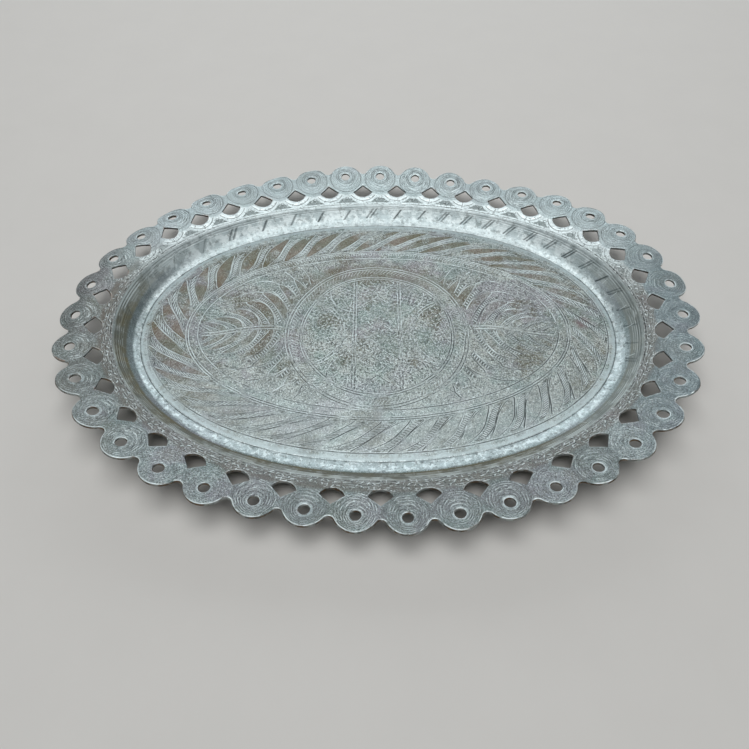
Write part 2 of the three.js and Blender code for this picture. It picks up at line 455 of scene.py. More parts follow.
def floor_lines(x, y, place, out, stem, inset):
    """Distances to the outlines, the combs, the chasing and the border, and where leaves and combs lie."""
    outline, comb, inside, strip = band_work(place, out)
    spray_outline, spray_comb, spray_inside, spray_strip = spray_work(x, y, stem)
    drawn, rope, middle = medallion_work(x, y)
    within = 1 - ramp(-STEM_WIDTH - 1, -STEM_WIDTH, stem)
    left = 1 - ramp(-112, -88, x)
    ground = (0.95 + 0.035 * higher(within, left) + 0.015 * middle) * ramp(41, 42, inset)
    light_chasing = only(closest(chasing(x, y, 1.3, 0.5), chasing(x, y, 8.2, 1.2)), ground)
    dark_chasing = only(chasing(x, y, 4.9, -0.35), ground)
    vine = closest(size_of(stem), size_of(stem + 1.5), size_of(stem + STEM_WIDTH))
    main = closest(outline, spray_outline, vine, drawn)
    far_vine = between(-3.9, -2.2, stem) * ramp(-30, 30, y + sine(place * 1.7) * 20)
    vine_comb = only(strokes(place * 18, 2.1), far_vine)
    combs = closest(comb, spray_comb + 0.2, vine_comb + 0.18)
    inside, strip = higher(inside, spray_inside * 0.6), higher(strip, spray_strip * 0.8)
    border = size_of(inset - BORDER_INSET)
    return main, combs, closest(light_chasing, rope), dark_chasing, border, inside, strip


def wall_lines(place, inset):
    """Distances to the wall's slanted strokes, to the lines along the shoulder and to its foot."""
    turn = place * (STROKES / DISCS) + sine(place * (TURN / DISCS) - 0.35) * 2.17 + (27 - inset) * 0.05
    pick = scatter(whole(turn + 0.5), 3.1)
    stroke = size_of(nearest(turn)) * 18.0
    twin = only(size_of(nearest(turn) - 0.14) * 18.0, ramp(0.62, 0.72, pick))
    marks = only(closest(stroke, twin), between(24.4, 30.6, inset + pick * 0.8, 0.3))
    return marks, closest(size_of(inset - 23.4), size_of(inset - 24.3)), size_of(inset - 35.2)


# --------------------
# Meshes


def mesh_piece(name, node, points, groups, corners, spots=None):
    """A piece from points in mm and groups of (faces, material).

    corners and spots are a name and up to three columns of values for the materials, by face corner
    and by point. They start at the first corner or point, and are 0 where a column ends.
    """
    mesh = bpy.data.meshes.new(name)
    loops = joined([faces.ravel() for faces, _ in groups]).astype(np.int32)
    sizes = joined([np.full(len(faces), faces.shape[1]) for faces, _ in groups])
    finish = joined([np.full(len(faces), k) for k, (faces, _) in enumerate(groups)])
    mesh.vertices.add(len(points))
    mesh.vertices.foreach_set("co", (points * MM).astype(np.float32).ravel())
    mesh.loops.add(len(loops))
    mesh.loops.foreach_set("vertex_index", loops)
    mesh.polygons.add(len(sizes))
    mesh.polygons.foreach_set("loop_start", joined([[0], np.cumsum(sizes)[:-1]]).astype(np.int32))
    mesh.polygons.foreach_set("material_index", finish.astype(np.int32))
    mesh.polygons.foreach_set("use_smooth", np.ones(len(sizes), bool))
    mesh.update(calc_edges=True)
    for domain, count, named in (("CORNER", len(loops), corners), ("POINT", len(points), spots)):
        if named:
            vectors = np.zeros((count, 3), np.float32)
            for k, column in enumerate(named[1]):
                vectors[: len(column), k] = column
            layer = mesh.attributes.new(named[0], "FLOAT_VECTOR", domain)
            layer.data.foreach_set("vector", vectors.ravel())
    mesh.set_sharp_from_angle(angle=math.radians(50))
    for _, material in groups:
        mesh.materials.append(material)
    piece = bpy.data.objects.new(name, mesh)
    bpy.context.scene.collection.objects.link(piece)
    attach(piece, "root")
    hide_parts(node)
    return piece


def corner_places(places, faces, around):
    """Places by face corner, kept together where they run past the last one."""
    places = places[faces]
    return (places - around * np.round((places - places[:, :1]) / around)).ravel()


def grid_faces(rows, columns, closed):
    """Quads over a grid of points, its columns joined round if closed."""
    across = np.arange(columns if closed else columns - 1)
    beside = (across + 1) % columns
    starts = (np.arange(rows - 1) * columns)[:, None]
    corners = [starts + across, starts + beside, starts + columns + beside, starts + columns + across]
    return np.stack(corners, 2).reshape(-1, 4)


def side_faces(upper, lower):
    """Quads from a run of points down to the run below it, with the metal on the runs' left."""
    return np.stack([upper[:-1], lower[:-1], lower[1:], upper[1:]], 1)


# Floor


def oval_grid(columns, rows):
    """Plan points that fill the floor's oval, square in the middle and round at the edge."""
    u, v = np.meshgrid(np.linspace(-1, 1, columns + 1), np.linspace(-1, 1, rows + 1))
    reach = np.maximum(np.abs(u), np.abs(v))
    safe = np.where(reach > 0, reach, 1)
    flat = np.abs(u) >= np.abs(v)
    eighth_u, eighth_v = u / safe * math.pi / 4, v / safe * math.pi / 4
    t = np.where(flat, eighth_v, math.pi / 2 - eighth_u)
    t = np.where(flat & (u < 0), math.pi - eighth_v, t)
    t = np.where(~flat & (v < 0), -math.pi / 2 + eighth_u, t)
    x, y = oval(t, FLOOR_EDGE)
    return (x * reach).ravel(), (y * reach).ravel()


def outline_of(columns, rows):
    """Point numbers round the edge of an oval grid, counterclockwise."""
    wide = columns + 1
    south, north = np.arange(columns), rows * wide + np.arange(columns, 0, -1)
    east, west = np.arange(rows) * wide + columns, np.arange(rows, 0, -1) * wide
    return joined([south, east, north, west])


def vine_distance(x, y):
    """Distance outside the vine's outer line, in its own family of ovals."""

    def is_low(away):
        wide, deep = (STEM[k] + BAND_GROWTH[k] * away for k in (0, 1))
        return (x / wide) ** 2 + (y / deep) ** 2 > 1

    return halved(x.shape, -60.0, 40.0, 22, is_low)


def leaf_place(x, y):
    """Distance round the leaf band, counted in leaves."""
    wide, deep = STEM[0] + BAND_WIDTH / 2, STEM[1] + BAND_WIDTH / 2
    lengths = run_lengths(wide * np.cos(ANGLES), deep * np.sin(ANGLES))
    t = np.mod(np.arctan2(y / deep, x / wide), TURN)
    return np.interp(t, ANGLES, lengths) / lengths[-1] * LEAVES


def make_floor(top, edge, under):
    x, y = oval_grid(FLOOR_COLUMNS, FLOOR_ROWS)
    inset = inset_of(x, y)
    stem = vine_distance(x, y)
    place = leaf_place(x, y)
    out = stem / BAND_WIDTH
    main, combs, light, dark, border, inside = floor_lines(x, y, place, out, stem, inset)[:6]
    z = height(x, y) + dents(x, y) * np.clip((inset - FLOOR_EDGE) / 6, 0, 1)
    cut = np.maximum(groove(np.minimum(main, border), MESH_LINE), groove(combs, MESH_LINE) * 0.5)
    cut = np.maximum(cut, groove(np.minimum(light, dark), MESH_LINE) * 0.25)
    relief = -CUT_DEPTH * cut + 0.05 * inside
    z = z + relief * np.clip((inset - FLOOR_EDGE) / 0.8, 0, 1)
    # The under face is a coarser grid, four upper points to each of its own at the edge
    coarse = 4
    bx, by = oval_grid(FLOOR_COLUMNS // coarse, FLOOR_ROWS // coarse)
    points = joined([np.stack([x, y, z], 1), np.stack([bx, by, np.zeros(bx.shape)], 1)])
    faces = grid_faces(FLOOR_ROWS + 1, FLOOR_COLUMNS + 1, False)
    back = grid_faces(FLOOR_ROWS // coarse + 1, FLOOR_COLUMNS // coarse + 1, False)[:, ::-1] + len(x)
    upper = outline_of(FLOOR_COLUMNS, FLOOR_ROWS)
    below = outline_of(FLOOR_COLUMNS // coarse, FLOOR_ROWS // coarse) + len(x)
    ends = np.arange(len(below))
    above = [np.roll(upper, -k)[ends * coarse] for k in range(coarse, -1, -1)]
    sides = np.stack([np.roll(below, -1), *above, below], 1)
    groups = [(faces, top), (sides, edge), (back, under)]
    leaf = [corner_places(place, faces, LEAVES), out[faces].ravel(), stem[faces].ravel()]
    return mesh_piece("floor", "well_floor", points, groups, ("leaf", leaf), ("zone", [inset]))


# Wall


def make_wall(top, edge, under):
    places = np.arange(WALL_COLUMNS) * DISCS / WALL_COLUMNS
    t = angle_at(places)
    insets = np.linspace(SHOULDER, FLOOR_EDGE, WALL_ROWS + 1)
    x, y = (v.ravel() for v in oval(t[None, :], insets[:, None]))
    inset = np.repeat(insets, WALL_COLUMNS)
    place = np.tile(places, WALL_ROWS + 1)
    cut = groove(closest(*wall_lines(place, inset)), MESH_LINE)
    fade = np.clip(np.minimum(inset - SHOULDER, FLOOR_EDGE - inset) / 2, 0, 1)
    z = height(x, y) + dents(x, y) * fade - CUT_DEPTH * cut * np.minimum(fade * 3, 1)
    back_insets = np.linspace(SHOULDER, FLOOR_EDGE, WALL_BACK_ROWS + 1)
    bx, by = (v.ravel() for v in oval(t[None, :], back_insets[:, None]))
    behind = under_face(bx, by)
    behind[:, 2] = np.maximum(behind[:, 2], 0)
    points = joined([np.stack([x, y, z], 1), behind])
    faces = grid_faces(WALL_ROWS + 1, WALL_COLUMNS, True)
    back = grid_faces(WALL_BACK_ROWS + 1, WALL_COLUMNS, True)[:, ::-1] + len(x)
    ring = np.append(np.arange(WALL_COLUMNS), 0)
    last, back_last = WALL_ROWS * WALL_COLUMNS, len(x) + WALL_BACK_ROWS * WALL_COLUMNS
    outer, inner = side_faces(ring, len(x) + ring), side_faces(last + ring[::-1], back_last + ring[::-1])
    groups = [(faces, top), (joined([outer, inner]), edge), (back, under)]
    course = [corner_places(place, faces, DISCS), inset[faces].ravel()]
    return mesh_piece("wall", "well_wall", points, groups, ("course", course))


# Rim


def arc(x, y, radius, start, end, step=EDGE_STEP):
    steps = max(2, round(abs(end - start) * radius / step))
    a = np.linspace(start, end, steps + 1)
    return np.stack([x + radius * np.cos(a), y + radius * np.sin(a)], 1)


def hole_centre(i):
    around = TURN * (i + FIRST_DISC) / DISCS

    def swing(waves, of_cos, of_sin):
        return of_cos * math.cos(waves * around) + of_sin * math.sin(waves * around)

    along = 0.4 + swing(2, 0.95, 0) + swing(3, 0, 0.5) + swing(4, 0.65, 0) + 0.6 * by_eye(i, 5.48, 3)
    inwards = -0.5 + swing(1, -0.6, -0.9) + swing(3, -0.5, 0) + swing(4, 0.5, -1.2)
    return np.array(rim_point(i + FIRST_DISC, along, inwards + 0.8 * by_eye(i, 45.21, 5)))


HOLES = [hole_centre(i) for i in range(DISCS)]
CENTRES = [hole - hole / np.hypot(*hole) * DISC_BEHIND_HOLE for hole in HOLES]


def notch_centre(i):
    a, b = CENTRES[i % DISCS], CENTRES[(i + 1) % DISCS]
    half = math.dist(a, b) / 2
    out = np.array([b[1] - a[1], a[0] - b[0]]) / (2 * half)
    return (a + b) / 2 + out * math.sqrt((DISC_RADIUS + NOTCH_RADIUS) ** 2 - half**2)


def bearing_of(a, b):
    return math.atan2(b[1] - a[1], b[0] - a[0])


def disc_edge(i):
    """The outer edge of disc i, counterclockwise, from the bottom of one notch to that of the next."""
    centre = CENTRES[i % DISCS]
    before, after = notch_centre(i - 1), notch_centre(i)
    start, end = bearing_of(centre, before), bearing_of(centre, after)
    end += TURN if end < start else 0

    def bottom(k, notch):
        return bearing_of(notch, (CENTRES[k % DISCS] + CENTRES[(k + 1) % DISCS]) / 2)

    def rounding(notch, a, b):
        turn = (b - a + math.pi) % TURN - math.pi
        return arc(*notch, NOTCH_RADIUS, a, a + turn)

    return joined([
        rounding(before, bottom(i - 1, before), start + math.pi)[:-1],
        arc(*centre, DISC_RADIUS, start, end),
        rounding(after, end + math.pi, bottom(i, after))[1:],
    ])


def half_fan(i, side):
    """Half of the opening after disc i, from its tip to the middle of its back."""
    tip, corner = (0, FAN_TIP), (side * FAN_HALF_WIDTH, FAN_CORNER)
    steps = round(math.dist(tip, corner) / EDGE_STEP)
    edge = np.linspace(tip, corner, steps, endpoint=False)
    depth = FAN_BACK - FAN_CORNER
    radius = (FAN_HALF_WIDTH**2 + depth**2) / (2 * depth)
    middle = (0, FAN_BACK - radius)
    back = arc(*middle, radius, bearing_of(middle, corner), math.pi / 2)
    local = joined([edge, back])
    place = (i % DISCS) + FIRST_DISC + 0.5
    around = TURN * place / DISCS
    along = 1.7 * math.cos(around) + 0.3 * math.sin(around) + 0.4 * math.cos(3 * around)
    outwards = 0.35 * (1 + math.sin(around))
    return np.stack(rim_point(place, local[:, 0] + along, local[:, 1] - outwards), 1)


def join(a, b):
    """The points between two ends of a seam."""
    long = math.dist(a, b)
    steps = max(1, round(long / FACE_STEP))
    share = np.arange(1, steps)[:, None] / steps
    # Bowed by a hair, as points on a straight line make slivers
    across = np.array([a[1] - b[1], b[0] - a[0]]) / long
    across = across * np.sign(across @ (1, 0.3))
    return a + (b - a) * share + across * np.sin(math.pi * share) * SEAM_BOW


def distances(points, runs):
    """Distance from each point to the nearest of the runs of segments."""
    best = np.full(len(points), 1e9)
    for run in runs:
        a, b = run[:-1], run[1:]
        way = b - a
        long = (way**2).sum(1)
        to = points[:, None] - a[None]
        share = np.clip((to * way[None]).sum(2) / long, 0, 1)
        best = np.minimum(best, np.sqrt(((to - share[..., None] * way[None]) ** 2).sum(2)).min(1))
    return best


def inside_of(points, loops):
    """Whether each point is inside an odd number of the closed loops."""
    odd = np.zeros(len(points), bool)
    for loop in loops:
        a, b = loop, np.roll(loop, -1, 0)
        for (ax, ay), (bx, by) in zip(a, b):
            if ay != by:
                crosses = (points[:, 1] < ay) != (points[:, 1] < by)
                odd ^= crosses & (points[:, 0] < ax + (points[:, 1] - ay) * (bx - ax) / (by - ay))
    return odd


def fill(loops, cuts, step, rows):
    """Triangles between the loops' points, rows of points beside the cuts and an even spread."""
    rims = joined(loops)
    closed = [joined([loop, loop[:1]]) for loop in loops]
    (left, near), (right, far) = rims.min(0), rims.max(0)
    columns, lines = np.arange(left, right, step), np.arange(near, far, step * 0.866)
    gx, gy = np.meshgrid(columns, lines)
    gx = gx + (np.arange(len(lines)) % 2)[:, None] * step / 2
    spread = np.stack([gx.ravel(), gy.ravel()], 1)
    spread = spread[inside_of(spread, loops)]
    clear = rows[-1] + step * 0.55 if rows else step * 0.5
    spread = spread[(distances(spread, cuts) > clear) & (distances(spread, closed) > step * 0.5)]
    beside = []
    for depth in rows:
        for run in cuts:
            way = (run[2:] - run[:-2]).T
            beside.append(run[1:-1] + (np.stack([-way[1], way[0]]) / np.hypot(*way)).T * depth)
    if beside:
        beside = joined(beside)
        beside = beside[inside_of(beside, loops)]
        clear = distances(beside, [*cuts, closed[0]]) > rows[0] * 0.9
        spread = joined([beside[clear], spread])
    points = joined([rims, spread])
    edges, start = [], 0
    for loop in loops:
        edges += [(start + k, start + (k + 1) % len(loop)) for k in range(len(loop))]
        start += len(loop)
    made = geometry.delaunay_2d_cdt([Vector(p) for p in points.tolist()], edges, [], 0, 1e-6, True)
    if len(made[0]) != len(points):
        raise ValueError("the cut of a rim sector doesn't keep its points")
    order = np.array([ids[0] for ids in made[3]])
    faces = order[np.array(made[2])]
    # A face that touches a loop is inside if it runs the loop's way, and any other if its middle is
    starts, ends = faces, np.roll(faces, -1, 1)
    cut = [p * len(points) + q for p, q in edges]
    same_way = np.isin(starts * len(points) + ends, cut).any(1)
    other_way = np.isin(ends * len(points) + starts, cut).any(1)
    inside = inside_of(points[faces].mean(1), loops)
    return points, faces[same_way | (inside & ~other_way)]


def rim_sector(i):
    """The sheet round disc i: the plan points, faces and cut runs of its upper and its under face.

    With each upper point go its distances to the cuts and to the fans, and its place from the disc's hole.
    """
    edge, fan_before, fan_after = disc_edge(i), half_fan(i - 1, 1), half_fan(i, -1)
    place = i + FIRST_DISC
    shoulder = angle_at(np.linspace(place + 0.5, place - 0.5, round(SPACING / FACE_STEP) + 1))
    shoulder = np.stack(oval(shoulder, SHOULDER), 1)
    back = fan_before[::-1]
    corners = [edge, fan_after, shoulder, back, edge]
    seams = [join(a[-1], b[0]) for a, b in zip(corners, corners[1:])]
    parts = [edge, seams[0], fan_after, seams[1], shoulder, seams[2], back, seams[3]]
    loop = joined(parts)
    hole = arc(*HOLES[i], HOLE_RADIUS, TURN, 0)[:-1]
    # Cuts run with the metal on their left
    cuts = [edge, fan_after, back, joined([hole[-1:], hole, hole[:1]])]
    upper, faces = fill([loop, hole], cuts, FACE_STEP, ROWS_BESIDE_CUT)
    lower, lower_faces = fill([loop, hole], cuts, BACK_STEP, ())
    starts = np.cumsum([0] + [len(part) for part in parts])
    runs = [np.arange(starts[k], starts[k] + len(parts[k])) for k in (0, 2, 4, 6)]
    runs.append(len(loop) + np.append(np.arange(len(hole)), 0))
    fans = [fan_after, back, half_fan(i - 1, -1), half_fan(i, 1)]
    around = [edge, joined([hole, hole[:1]]), disc_edge(i - 1), disc_edge(i + 1), *fans]
    fields = np.stack([distances(upper, around), distances(upper, fans)], 1)
    ahead, outwards = rim_ways(place)
    to = upper - HOLES[i]
    pick = np.full(len(to), (by_eye(i, WILD, PICK_START) + 1) / 2)
    local = np.stack([to @ ahead, to @ outwards, pick], 1)
    return upper, faces, fields, local, lower, lower_faces, runs


def make_rim(top, edge, under):
    sectors = [rim_sector(i) for i in range(DISCS)]
    upper, faces, fields, local, lower, back, runs = zip(*sectors)
    upper_starts = np.cumsum([0, *map(len, upper)])
    lower_starts = np.cumsum([0, *map(len, lower)]) + upper_starts[-1]
    flat, back_flat, fields = (joined(v) for v in (upper, lower, fields))
    local = joined([values[corners.ravel()] for values, corners in zip(local, faces)])
    faces = joined([own + start for own, start in zip(faces, upper_starts)])
    back = joined([own[:, ::-1] + start for own, start in zip(back, lower_starts)])
    sides = joined([
        side_faces(run + start, run + lower_start)
        for own, start, lower_start in zip(runs, upper_starts, lower_starts)
        for run in own
    ])

    x, y = flat.T
    inset = inset_of(x, y)
    away, fans = fields.T
    along, out, pick = np.zeros((3, len(flat)))
    along[faces.ravel()], out[faces.ravel()], pick[faces.ravel()] = local.T
    rings, spokes = disc_work(along, out, pick)
    petal, triangle, ringlet = petal_work(along, out, fans, inset)
    on_disc = disc_share(along, out)
    lines = closest(only(closest(rings, spokes), on_disc), only(closest(petal, ringlet), 1 - on_disc))
    cut = np.maximum(groove(closest(lines, size_of(inset - RIM_LINE)), MESH_LINE), triangle * 0.5)
    under_round = np.clip(EDGE_ROUNDING - away, 0, EDGE_ROUNDING)
    rounded = EDGE_ROUNDING - np.sqrt(EDGE_ROUNDING**2 - under_round**2)
    fade = np.clip((SHOULDER - inset) / 2, 0, 1)
    cut = cut * np.clip((away - 0.3) / 0.5, 0, 1) * np.minimum(fade * 3, 1)
    z = height(x, y) + dents(x, y) * fade - CUT_DEPTH * cut - rounded
    z = np.minimum(z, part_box("pierced_rim")[1].z / MM - TOP_ROOM)
    every = joined([np.stack([x, y, z], 1), under_face(*back_flat.T)])

    # Neighbouring sectors share the points along their seams
    layer = np.repeat([0, 1], [len(flat), len(back_flat)])
    plan = np.column_stack([joined([flat, back_flat]) * 1000, layer])
    keys = np.round(plan).astype(np.int64)
    first, same = np.unique(keys, axis=0, return_index=True, return_inverse=True)[1:]
    same = same.ravel()
    groups = [(same[faces], top), (same[sides], edge), (same[back], under)]
    spot = np.zeros((3, len(same)))
    spot[:, : len(flat)] = away, fans, inset
    spots = ("zone", spot[:, first])
    return mesh_piece("rim", "pierced_rim", every[first], groups, ("disc", local.T), spots)


# --------------------
# Finishes


class Paint:
    """A material under construction: noises, mixes and the shader at the end."""

    def __init__(self, name):
        self.material = bpy.data.materials.new(name)
        self.material.use_nodes = True
        self.tree = self.material.node_tree
        self.tree.nodes.clear()
        self.place = self.add("TexCoord").outputs["Object"]
        self.x, self.y = (field * (1 / MM) for field in self.parts(self.place)[:2])
        self.colour = None

    def add(self, kind, inputs=()):
        """A shader node, with (name, value) pairs for its inputs."""
        node = self.tree.nodes.new("ShaderNode" + kind)
        for name, value in inputs:
            feed(self.tree, node.inputs[name], value)
        return node

    def parts(self, vector):
        return [Field(self.tree, s) for s in self.add("SeparateXYZ", [(0, vector)]).outputs]

    def attribute(self, name):
        node = self.add("Attribute")
        node.attribute_name = name
        return self.parts(node.outputs["Vector"])

    def noise(self, size, shift=0, detail=3, rough=0.6, stretch=(1, 1, 1)):
        """Noise about 0.5, its features about size mm across."""
        start = (shift, shift * 0.7, shift * 1.3)
        moved = self.add("Mapping", [("Location", start), ("Scale", stretch), ("Vector", self.place)])
        grain = [("Scale", 1 / (size * MM)), ("Detail", detail), ("Roughness", rough)]
        node = self.add("TexNoise", [*grain, ("Vector", moved.outputs[0])])
        return Field(self.tree, node.outputs["Fac"])

    def patches(self, low, high, *noise):
        """0 where the noise is below low, and 1 in patches where it is above high."""
        return ramp(low, high, self.noise(*noise))

    def wander(self, reach, *noise):
        """A slow shift of up to half of reach mm either way, to make an edge uneven."""
        return (self.noise(*noise) - 0.5) * reach

    def mix(self, base, colour, amount):
        """base moved towards colour by amount."""
        node = self.add("Mix", [("Factor", amount)])
        node.data_type = "RGBA"
        for k, value in ((6, base), (7, colour)):
            feed(self.tree, node.inputs[k], (*value, 1) if isinstance(value, tuple) else value)
        return node.outputs[2]

    def lay(self, colour, amount):
        """Another colour over what is there."""
        self.colour = self.mix(self.colour, colour, amount)

    def engrave(self, distance, pale, width, amount):
        """A cut line, dark with pale sides or the other way round as pale goes from 0 to 1. The sides are
        painted light and painted shade along the groove's edges.
        """
        core = groove(distance, width) * amount
        side = groove(size_of(distance - width * 0.95), width * 0.8) * amount
        self.lay(SOOT, core * (1 - pale) * 0.8 + side * pale * 0.35)
        self.lay(CHALK_AND_HIGHLIGHT, core * pale * 0.85 + side * (1 - pale) * 0.3)

    def finish(self, metallic, rough, bump, depth):
        """The shader, from fields for the metal share, the roughness and a relief of depth mm."""
        relief = self.add("Bump", [("Strength", 1), ("Distance", depth * MM), ("Height", bump)])
        surface = [("Base Color", self.colour), ("Metallic", metallic), ("Roughness", rough)]
        shader = self.add("BsdfPrincipled", [*surface, ("Normal", relief.outputs[0])])
        self.add("OutputMaterial", [("Surface", shader.outputs[0])])
        return self.material


# Linear colours of the tin, its tarnish and the metal under it. The pale tin and chalk colours also serve
# as painted light and painted highlights, the dull tin as painted shade, and the copper partly as a painted
# reflection on the edges
PALE_TIN = (0.54, 0.645, 0.67)
DULL_TIN = (0.115, 0.145, 0.145)
TEAL = (0.2, 0.33, 0.32)
LILAC = (0.31, 0.28, 0.34)
OLIVE = (0.13, 0.115, 0.055)
BROWN = (0.18, 0.125, 0.075)
SOOT = (0.022, 0.028, 0.028)
CHALK_AND_HIGHLIGHT = (0.78, 0.88, 0.9)
COPPER = (0.36, 0.2, 0.13)


class Tarnish:
    """The tin's uneven surface: tinted clouds, olive wear, and fine pale and dark grain."""

    def __init__(self, paint, dark, light, olive, grain):
        self.patches = paint.patches(0.53, 0.64, 22, 3.1, 5, 0.62) * olive
        fine, coarse = paint.noise(0.9, 1.7, 3, 0.7), paint.noise(3.4, 21.3, 4, 0.7)
        self.grain = ramp(0.4, 0.6, fine * 0.62 + coarse * 0.38)
        self.pits = paint.patches(0.54, 0.64, 0.8, 8.9, 2, 0.7)
        paint.colour = paint.mix(dark, light, self.grain * (0.6 * grain) + (0.45 - 0.25 * grain))
        paint.lay(TEAL, paint.patches(0.48, 0.62, 26, 11.3) * 0.4)
        paint.lay(LILAC, paint.patches(0.5, 0.62, 30, 13.9) * 0.5)
        paint.lay(DULL_TIN, paint.patches(0.42, 0.58, 30, 0, 4, 0.62) * 0.3)
        paint.lay(OLIVE, self.patches)
        paint.lay(CHALK_AND_HIGHLIGHT, paint.patches(0.54, 0.64, 0.75, 5.3, 2, 0.7) * (0.7 * grain))
        paint.lay(SOOT, self.pits * (0.68 * grain))
        across = paint.patches(0.58, 0.66, 0.7, 2.2, 2, 0.5, (1, 0.1, 1))
        self.scratches = across + paint.patches(0.56, 0.64, 0.7, 6.4, 2, 0.5, (0.08, 1, 1))

    def dullness(self, grain, patches, pits):
        return self.grain * grain + self.patches * patches + self.pits * pits

    def relief(self, grain, pits, scratches):
        return self.grain * grain - self.pits * pits - self.scratches * scratches


def rim_finish():
    paint = Paint("engraved_tin_rim")
    lay, engrave, patches = paint.lay, paint.engrave, paint.patches
    along, out, pick = paint.attribute("disc")
    away, fans, inset = paint.attribute("zone")
    rings, spokes = disc_work(along, out, pick)
    petal, triangle, ringlet = petal_work(along, out, fans, inset)
    rim_line = size_of(inset - RIM_LINE)
    on_disc = disc_share(along, out)
    off_disc = 1 - on_disc
    tarnish = Tarnish(paint, DULL_TIN, PALE_TIN, 0.3, 1.15)
    # far and near place the rim's painted light: the far side painted paler with painted highlights, the
    # near side darker with painted shade
    far = ramp(10, 90, paint.y + paint.wander(60, 50, 1.9, 2, 0.5))
    near = 1 - far
    hole = reach_of(along, out)
    left = 1 - ramp(-185, -130, paint.x)
    right = ramp(110, 170, paint.x)
    own = scatter(pick * 61, 2)
    # Painted shade: the near discs darker, each by its own amount
    lay(DULL_TIN, near * (ramp(0.1, 0.9, own) * 0.4 + 0.04))
    shoulder = ramp(13, 16, inset)
    # Painted shade: darker brown towards the shoulder on the near side, and at the left end
    lay((0.14, 0.12, 0.098), near * (shoulder * 0.5 + 0.12) + left * 0.3)
    # Painted reflection: a bluish sheen on the near discs at the right
    lay((0.17, 0.235, 0.27), right * on_disc * near * 0.45)
    # Painted light: the far side of the rim paler, with a painted highlight off the discs
    lay(PALE_TIN, far * 0.66)
    lay(CHALK_AND_HIGHLIGHT, far * off_disc * ramp(5, 9, inset) * (0.35 + tarnish.grain * 0.2))
    # Painted highlight on the petal band round the fans' backs, on the far side only
    petals = between(0.4, 4.3, fans + paint.wander(1.6, 5, 2.4), 0.5) * ramp(11, 12.5, inset) * off_disc
    lay(CHALK_AND_HIGHLIGHT, petals * far * (patches(0.34, 0.56, 8, 5.8) * 0.45 + 0.4))
    worn_ring = between(2.9, 4.3, hole + paint.wander(1.5, 3, 4.9), 0.35)
    lay(PALE_TIN, worn_ring * patches(0.42, 0.58, 4, 17.1) * (own * 0.6 + 0.15))
    fading = patches(0.4, 0.58, 3.6, 4.4, 4, 0.65) * 0.75 + 0.12
    pale = patches(0.42, 0.58, 4, 7.1)
    # How strongly each disc's rings show: it differs from disc to disc as they were cut, and is lower at
    # the left end and on the near right, under the painted shade and the painted reflection there
    ring_strength = (ramp(0.1, 0.8, scatter(pick * 83, 5)) * 0.6 + 0.4) * (1 - left * 0.3)
    ring_strength = ring_strength * (1 - right * near * 0.4)
    round_hole = only(closest(rings, spokes), on_disc)
    engrave(round_hole, pale, 0.5, (fading * 0.85 + 0.12) * ring_strength)
    engrave(only(closest(petal, ringlet), off_disc), pale * 0, 0.6, far * 0.5 + fading * 0.3)
    lay(DULL_TIN, triangle * (far * 0.6 + 0.15))
    outline = size_of(reach_of(along, out + DISC_BEHIND_HOLE) - 11)
    outlines = closest(outline, size_of(hole - 5.2), size_of(hole - 6.4))
    lay(SOOT, groove(only(outlines, on_disc), 0.75) * (far * 0.35 + 0.12) * (fading * 0.5 + 0.5))
    ground = shoulder * off_disc * 0.04 + 0.955
    chased = fading * 0.5 + 0.1 + near * shoulder * 0.3
    for colour, kind, lean, width in ((CHALK_AND_HIGHLIGHT, 2.6, 0.2, 0.62), (SOOT, 6.1, -0.5, 0.75)):
        lay(colour, groove(only(chasing(along, out, kind, lean), ground), width) * chased)
    hatching = only(strokes(inset + paint.wander(2, 20, 3.3, 2, 0.5), 1.25), between(14, 20.6, inset))
    engrave(only(hatching, off_disc), pale, 0.45, fading * near * 0.8)
    engrave(rim_line, pale * 0.5, 0.6, fading * 0.3 + 0.6)
    # The filed edges: copper where the tin is worn through, laid more on the far side and at the left end
    # as a painted brown reflection, and pale glints along them as a painted highlight
    edge_wear_and_glint = 1 - ramp(0.25, 0.8, away)
    by_disc = ramp(0.1, 0.6, fans - away)
    lay(COPPER, edge_wear_and_glint * patches(0.52, 0.62, 7, 9.7) * (far * 0.3 + left * 0.3 + 0.2))
    edge_glint = patches(0.4, 0.54, 9, 7.7) * (0.35 + by_disc * 0.5) * (1 - left * 0.6)
    lay(CHALK_AND_HIGHLIGHT, edge_wear_and_glint * edge_glint)
    cut = groove(closest(round_hole, only(petal, off_disc), rim_line), 0.5)
    rough = 0.38 + tarnish.dullness(0.12, 0.3, 0.12)
    bump = 0.5 - cut * 0.4 - triangle * 0.25 + tarnish.relief(0.14, 0.25, 0.07)
    return paint.finish(0.72 - tarnish.patches * 0.6 - tarnish.pits * 0.3, rough, bump, 0.22)


